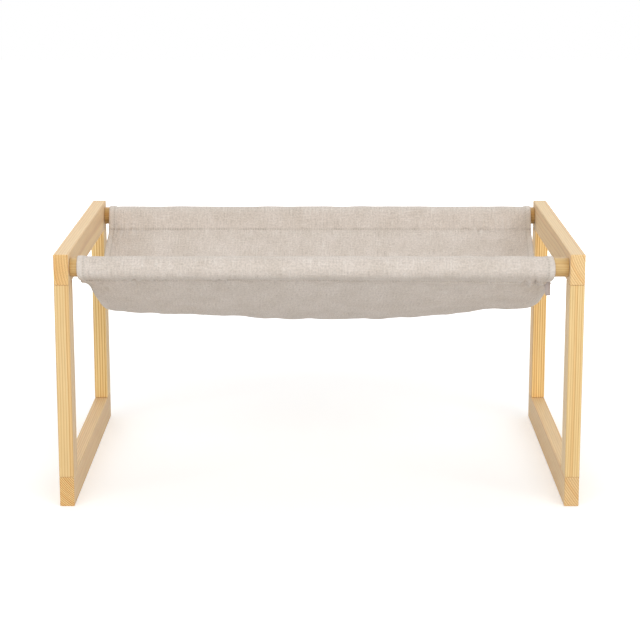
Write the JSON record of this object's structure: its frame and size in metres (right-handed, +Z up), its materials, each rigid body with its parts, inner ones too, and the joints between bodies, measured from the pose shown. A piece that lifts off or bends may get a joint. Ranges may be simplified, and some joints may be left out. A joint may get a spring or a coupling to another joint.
{
  "type": "hammock cat bed",
  "caption": "Free-standing hammock bed for a cat: two pine side frames joined by round crossbars that carry a canvas sling.",
  "frame": {"origin": "on the floor, under the middle of the bed", "axes": "+X to the right along the crossbars, +Y to the rear along the side rails, +Z up"},
  "size_m": [0.6, 0.4, 0.296],
  "materials": {
    "pine": "clear matt varnish over planed pine",
    "beech": "raw",
    "zinc_plated_steel": "zinc plated",
    "linen_canvas": "plain weave, slubby, undyed"
  },
  "bodies": {
    "root": {"left_top_rail": "pine", "left_bottom_rail": "pine", "left_front_leg": "pine", "left_front_top_pin_a": "beech", "left_front_top_pin_b": "beech", "left_front_bottom_pin_a": "beech", "left_front_bottom_pin_b": "beech", "left_front_bolt": "zinc_plated_steel", "left_front_insert": "zinc_plated_steel", "left_rear_leg": "pine", "left_rear_top_pin_a": "beech", "left_rear_top_pin_b": "beech", "left_rear_bottom_pin_a": "beech", "left_rear_bottom_pin_b": "beech", "left_rear_bolt": "zinc_plated_steel", "left_rear_insert": "zinc_plated_steel", "right_top_rail": "pine", "right_bottom_rail": "pine", "right_front_leg": "pine", "right_front_top_pin_a": "beech", "right_front_top_pin_b": "beech", "right_front_bottom_pin_a": "beech", "right_front_bottom_pin_b": "beech", "right_front_bolt": "zinc_plated_steel", "right_front_insert": "zinc_plated_steel", "right_rear_leg": "pine", "right_rear_top_pin_a": "beech", "right_rear_top_pin_b": "beech", "right_rear_bottom_pin_a": "beech", "right_rear_bottom_pin_b": "beech", "right_rear_bolt": "zinc_plated_steel", "right_rear_insert": "zinc_plated_steel", "front_crossbar": "pine", "rear_crossbar": "pine", "sling": "linen_canvas"}
  },
  "joints": []
}
